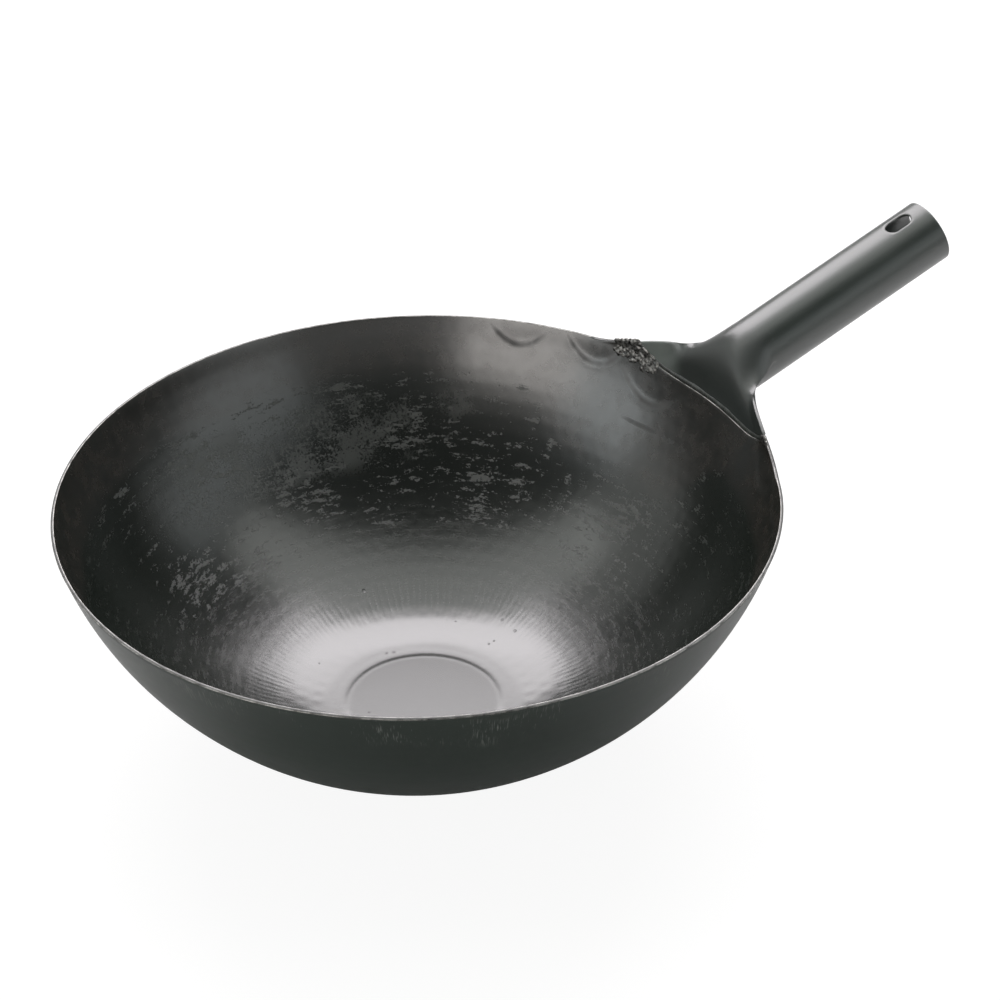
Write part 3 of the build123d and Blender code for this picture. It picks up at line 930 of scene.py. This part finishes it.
rough = 0.24 - polished * 0.06 + disc * 0.08 + marks * 0.3 + lower_wall * (streaks - 0.45) * 0.28
rough = rough + rays * 0.03 + bloom * (stains - 0.4) * 0.2 + dark_lines * 0.3
rough = rough + (fibres - 0.5) * lower_wall * 0.16
height = streaks * lower_wall * 0.28 + rays * 0.12 + marks * 0.3 + inside.noise(where, 300.0, 3.0) * 0.12
height = height + (fibres - 0.5) * lower_wall * 0.3 - pits * 1.6
inside_steel = inside.finish(shade, rough, height, 0.12 * MM)
print("inside nodes", len(inside.tree.nodes))

# %% [markdown]
# ## Steel of the outside
#
# The outside is blued too, but never rubbed, so it is duller and greener. Below the rim it carries
# short upright scrapes, from the grinder that trued the edge. They come from a noise that is stretched
# up the wall, and a slow noise gathers them in groups.

# %% Outside of the bowl
outside = Paint("blued_outside", IOR=1.5)
x, y, z, where, radius, turn, climb = bowl_place(outside)
spot = (x, y, radius, climb)
clouds = outside.noise(where, 18.0, 6.0, 0.65)
upright = ring_noise(outside, spot, 60.0, 0.10, 2.0, 0.5)
groups = outside.noise(where, 26.0, 2.0)
scrapes = outside.step(upright + (groups - 0.5) * 0.9, 0.60, 0.70)
scrapes = scrapes * outside.band(climb + (groups - 0.5) * 12.0, 67.0, 73.0, 1.5)
shade = outside.blend(clouds, (0.006, 0.0115, 0.008), (0.014, 0.024, 0.018))
shade = outside.blend(scrapes * 0.8, shade, (0.11, 0.12, 0.11))
outside_steel = outside.finish(shade, 0.36 + (clouds - 0.5) * 0.12 + scrapes * 0.15)
print("outside nodes", len(outside.tree.nodes))

# %% [markdown]
# ## Steel of the handle
#
# The tube is smoother and greyer than the bowl. Its tongue is painted lighter, the wing along the rim
# most of all, as painted reflection. The tube's inside never saw a cloth, so it is nearly black.

# %% Handle, outside and inside
grip = Paint("blued_handle", IOR=1.95)
x, y, z, where = grip.place()
clouds = grip.noise(where, 40.0, 5.0, 0.6)
fine = grip.noise(where, 420.0, 4.0, 0.7)
# Painted reflection: the tongue is painted a little lighter and the wing along the rim much lighter, standing
# in for what they mirror.
tongue = 1 - grip.step(x, 196 * MM, 208 * MM)
wing_reflection = tongue * grip.step(y + (clouds - 0.5) * 0.02, 24 * MM, 44 * MM)
shade = grip.blend(clouds, (0.013, 0.020, 0.016), (0.024, 0.033, 0.028))
shade = grip.blend(tongue * 0.6, shade, (0.026, 0.030, 0.029))
shade = grip.blend(wing_reflection, shade, (0.20, 0.225, 0.21))
shade = grip.blend(grip.step(fine, 0.62, 0.75) * 0.5, shade, (0.07, 0.075, 0.07))
rough = 0.34 + (clouds - 0.5) * 0.14 + (fine - 0.5) * 0.08
handle_steel = grip.finish(shade, rough, fine, 0.03 * MM)

bore = Paint("tube_inside", IOR=1.35, Roughness=0.6)
rust = bore.noise(bore.place()[3], 90.0, 4.0)
tube_steel = bore.finish(bore.blend(rust, (0.003, 0.0035, 0.003), (0.010, 0.0105, 0.0095)))
print("handle nodes", len(grip.tree.nodes), "and inside the tube", len(bore.tree.nodes))

# %% [markdown]
# ## Ground edges and weld metal
#
# The lip of the bowl, the tube's end and the slot's bevel were ground and stayed bare, so they are
# metallic. The lip's middle has dulled, between two bright lines. The crusts are bare weld metal, and
# the seam across the tongue was ground down and blued with the rest.

# %% Edges and welds
def scuffed(name, scale, detail, roughness, low, high, dark, pale, **constants):
    """A paint of two colours, mixed by a noise between two levels. Gives the paint, noise and colour."""
    paint = Paint(name, **constants)
    scuffs = paint.noise(paint.place()[3], scale, detail, roughness)
    return paint, scuffs, paint.blend(paint.step(scuffs, low, high), dark, pale)


bare, scuffs, shade = scuffed(
    "bare_edge", 160.0, 4.0, 0.7, 0.3, 0.7, (0.10, 0.097, 0.092), (0.5, 0.49, 0.47), Metallic=1.0
)
bare_steel = bare.finish(shade, 0.34 + scuffs * 0.15)
lip, scuffs, shade = scuffed(
    "rim_top", 120.0, 4.0, 0.7, 0.45, 0.7, (0.008, 0.0105, 0.009), (0.08, 0.08, 0.076), IOR=1.9
)
rim_top = lip.finish(shade, 0.4)
weld, scuffs, shade = scuffed(
    "weld_metal", 420.0, 5.0, 0.7, 0.35, 0.7, (0.02, 0.02, 0.019), (0.5, 0.49, 0.47), Metallic=1.0
)
weld_steel = weld.finish(shade, 0.34 + scuffs * 0.2, scuffs, 0.16 * MM)
ground, scuffs, shade = scuffed(
    "ground_weld", 300.0, 4.0, 0.6, 0.4, 0.7, (0.012, 0.016, 0.013), (0.06, 0.066, 0.06), IOR=1.9
)
ground_weld = ground.finish(shade, 0.36, scuffs, 0.06 * MM)
print("edge and weld paints", [paint.material.name for paint in (bare, lip, weld, ground)])

# %% [markdown]
# Each polygon of the bowl gets its material by the row of points it starts in: the inside, the lip's
# bright lines with the dull one between, or the outside.

# %% Materials onto the meshes
INSIDE, OUTSIDE, BARE, LIP = range(4)


def coat(thing, *materials):
    """Gives a thing its materials, in order."""
    thing.data.materials.clear()
    for material in materials:
        thing.data.materials.append(material)


coat(bowl, inside_steel, outside_steel, bare_steel, rim_top)
lip_start = len(inner_rows)
coats = []
for polygon in bowl.data.polygons:
    row = min(min(polygon.vertices) // column_count, len(all_rows) - 1)
    if len(polygon.vertices) == 3:
        coats.append(INSIDE if inner_centre in polygon.vertices else OUTSIDE)
    elif row < lip_start - 1:
        coats.append(INSIDE)
    elif row < lip_start + len(lip_rows):
        coats.append(LIP if lip_start + 1 <= row < lip_start + 3 else BARE)
    else:
        coats.append(OUTSIDE)
bowl.data.polygons.foreach_set("material_index", coats)
coat(handle, handle_steel, bare_steel, tube_steel)
coat(seam_bead, ground_weld)
for thing in (closing_bead, fillet_bead, left_crust, right_crust):
    coat(thing, weld_steel)
print("polygons by coat", np.bincount(coats))

# %% [markdown]
# ## Camera
#
# A pan is photographed for a catalogue from some way off, with a long lens, so that it isn't distorted.
# The camera's place and angles were solved from the rim's ellipse and the handle's edges. Its three
# axes make the rotation matrix.

# %% Camera
CAMERA_PLACE = Vector((-0.6574, -1.1423, 0.9929))
SENSOR_WIDTH = 36.0
LENS_SHARE = 3.2
HEADING, FALL, ROLL = math.radians(31.69), math.radians(33.383), math.radians(-0.778)
look = Vector((math.sin(HEADING) * math.cos(FALL), math.cos(HEADING) * math.cos(FALL), -math.sin(FALL)))
level = Vector((math.cos(HEADING), -math.sin(HEADING), 0))
raised = level.cross(look)
right = level * math.cos(ROLL) + raised * math.sin(ROLL)
up = raised * math.cos(ROLL) - level * math.sin(ROLL)
lens = bpy.data.cameras.new("camera")
lens.sensor_width = SENSOR_WIDTH
lens.lens = LENS_SHARE * SENSOR_WIDTH
lens.clip_end = 20
camera = bpy.data.objects.new("camera", lens)
axes = Matrix((right, up, -look)).transposed()
camera.matrix_world = Matrix.Translation(CAMERA_PLACE) @ axes.to_4x4()
bpy.context.scene.collection.objects.link(camera)
bpy.context.scene.camera = camera
bpy.context.scene.view_settings.view_transform = "Standard"
print("camera looks down by degrees", round(math.degrees(FALL), 1), "through mm", round(lens.lens, 1))

# %% [markdown]
# ## Light
#
# A black shiny pan is lit through its reflections. A tall soft box in two parts stands behind it, and
# the bright floor of the bowl mirrors that. Two boxes to the left lie on the near wall as reflections,
# and weak ones fill from the sides and from above. The rest of the room is dark, and so is most of the
# bowl. Each area light makes one reflection, which is easier to place than a picture of a studio.

# %% Lights
AIM = Vector((0, 0, 80 * MM))
AWAY = 1.6


def soft_box(name, azimuth, elevation, width, height, radiance, colour):
    """A flat light that faces the pan, at an azimuth from the camera's heading, seen from above."""
    turn, rise = HEADING + math.radians(azimuth), math.radians(elevation)
    direction = Vector((math.sin(turn) * math.cos(rise), math.cos(turn) * math.cos(rise), math.sin(rise)))
    light = bpy.data.lights.new(name, "AREA")
    light.shape = "RECTANGLE"
    light.size, light.size_y = width, height
    light.energy = 4 * width * height * radiance
    light.color = colour
    lamp = bpy.data.objects.new(name, light)
    facing = direction.to_track_quat("Z", "Y").to_matrix().to_4x4()
    lamp.matrix_world = Matrix.Translation(AIM + direction * AWAY) @ facing
    bpy.context.scene.collection.objects.link(lamp)


PINKISH, WARM, COOL, PLAIN = (1.0, 0.965, 0.985), (1.0, 0.955, 0.92), (0.93, 0.99, 1.0), (0.97, 1.0, 0.96)
soft_box("far_box_low", 0, 34.5, 1.87, 0.70, 3.3, PINKISH)
soft_box("far_box_high", 0, 58, 1.87, 0.64, 3.7, PINKISH)
soft_box("top_box", 0, 85, 4.2, 0.86, 0.8, PLAIN)
soft_box("left_box_low", -145, 12.5, 1.16, 0.64, 1.9, WARM)
soft_box("left_box_high", -111, 17, 0.8, 0.62, 1.15, COOL)
soft_box("right_box", 103, 21, 2.08, 0.8, 0.42, COOL)
soft_box("left_fill", -72, 30, 1.2, 0.9, 0.3, PLAIN)

# %% [markdown]
# ## The room and the floor
#
# The camera sees a white room, but the pan mirrors a dark one, a little lighter near the ground. Light
# Path's Is Camera Ray tells the two apart. The floor is pale paper, and for the camera a glow is mixed
# in, so that it is white and still keeps the pan's soft shadow.

# %% Room and floor
room = bpy.data.worlds.new("room")
bpy.context.scene.world = room
room.use_nodes = True
room.node_tree.nodes.clear()
air = Nodes(room.node_tree)
upward = air.make("SeparateXYZ", {}, {0: air.make("TexCoord", {}, {}, "Generated")}, 2)
stops = ((0.1, (0.40, 0.40, 0.39, 1)), (0.38, (0.10, 0.105, 0.1, 1)), (0.6, (0.05, 0.052, 0.05, 1)))
unseen = air.make("Background", {}, {"Color": air.make("ValToRGB", {"stops": stops}, {0: upward})})
seen = air.make("Background", {}, {"Color": (1, 1, 1, 1)})
camera_ray = air.make("LightPath", {}, {}, "Is Camera Ray")
mixed = air.make("MixShader", {}, {0: camera_ray, 1: unseen, 2: seen})
air.make("OutputWorld", {}, {"Surface": mixed})

FLOOR_REACH = 6.0
paper = bpy.data.materials.new("paper")
paper.use_nodes = True
paper.node_tree.nodes.clear()
pulp = Nodes(paper.node_tree)
matt = pulp.make("BsdfDiffuse", {}, {"Color": (0.82, 0.82, 0.82, 1)})
glow = pulp.make("Emission", {}, {"Strength": 1.16})
camera_ray = pulp.make("LightPath", {}, {}, "Is Camera Ray")
mixed = pulp.make("MixShader", {}, {0: camera_ray * 0.78, 1: matt, 2: glow})
pulp.make("OutputMaterial", {}, {"Surface": mixed})

floor_mesh = bpy.data.meshes.new("floor")
corners = [(-1, -1, 0), (1, -1, 0), (1, 1, 0), (-1, 1, 0)]
floor_mesh.from_pydata([Vector(corner) * FLOOR_REACH for corner in corners], [], [(0, 1, 2, 3)])
floor_mesh.materials.append(paper)
floor = bpy.data.objects.new("floor", floor_mesh)
bpy.context.scene.collection.objects.link(floor)
print("room nodes", len(air.tree.nodes), "paper nodes", len(pulp.tree.nodes))
